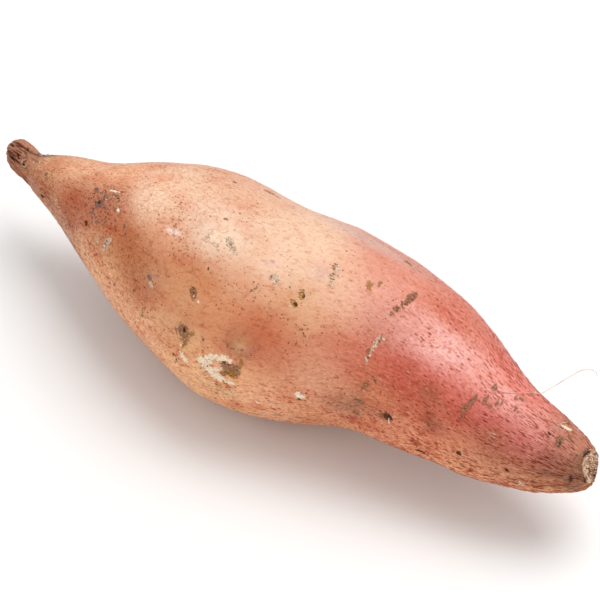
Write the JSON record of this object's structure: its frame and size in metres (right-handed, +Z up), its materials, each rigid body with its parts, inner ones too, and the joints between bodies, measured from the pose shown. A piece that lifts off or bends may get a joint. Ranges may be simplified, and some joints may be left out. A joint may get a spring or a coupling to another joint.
{
  "type": "sweet potato",
  "caption": "Whole raw sweet potato, a long spindle-shaped storage root with a narrow stalk neck and a trimmed root end, lying on its belly.",
  "frame": {"origin": "middle of the root's footprint, on the surface that it lies on", "axes": "+X along the root to its trimmed root end, -X to the stalk neck, +Z up from the flat spot on its belly"},
  "size_m": [0.2102, 0.065, 0.0599],
  "materials": {
    "skin": "thin satin skin, peach to copper at the stalk and rose pink at the root end, with corky pores and scars",
    "cork": "matt brown corky pores, scabs and scars that stand on or sink into the skin",
    "rootlet": "dry pale tan fine roots, a little translucent",
    "cut_fibre": "dried cream and tan shredded fibres of the trimmed root end, dark between them"
  },
  "bodies": {
    "root": {"storage_root": "skin", "hair_root": "rootlet", "curled_rootlet": "rootlet"}
  },
  "joints": []
}
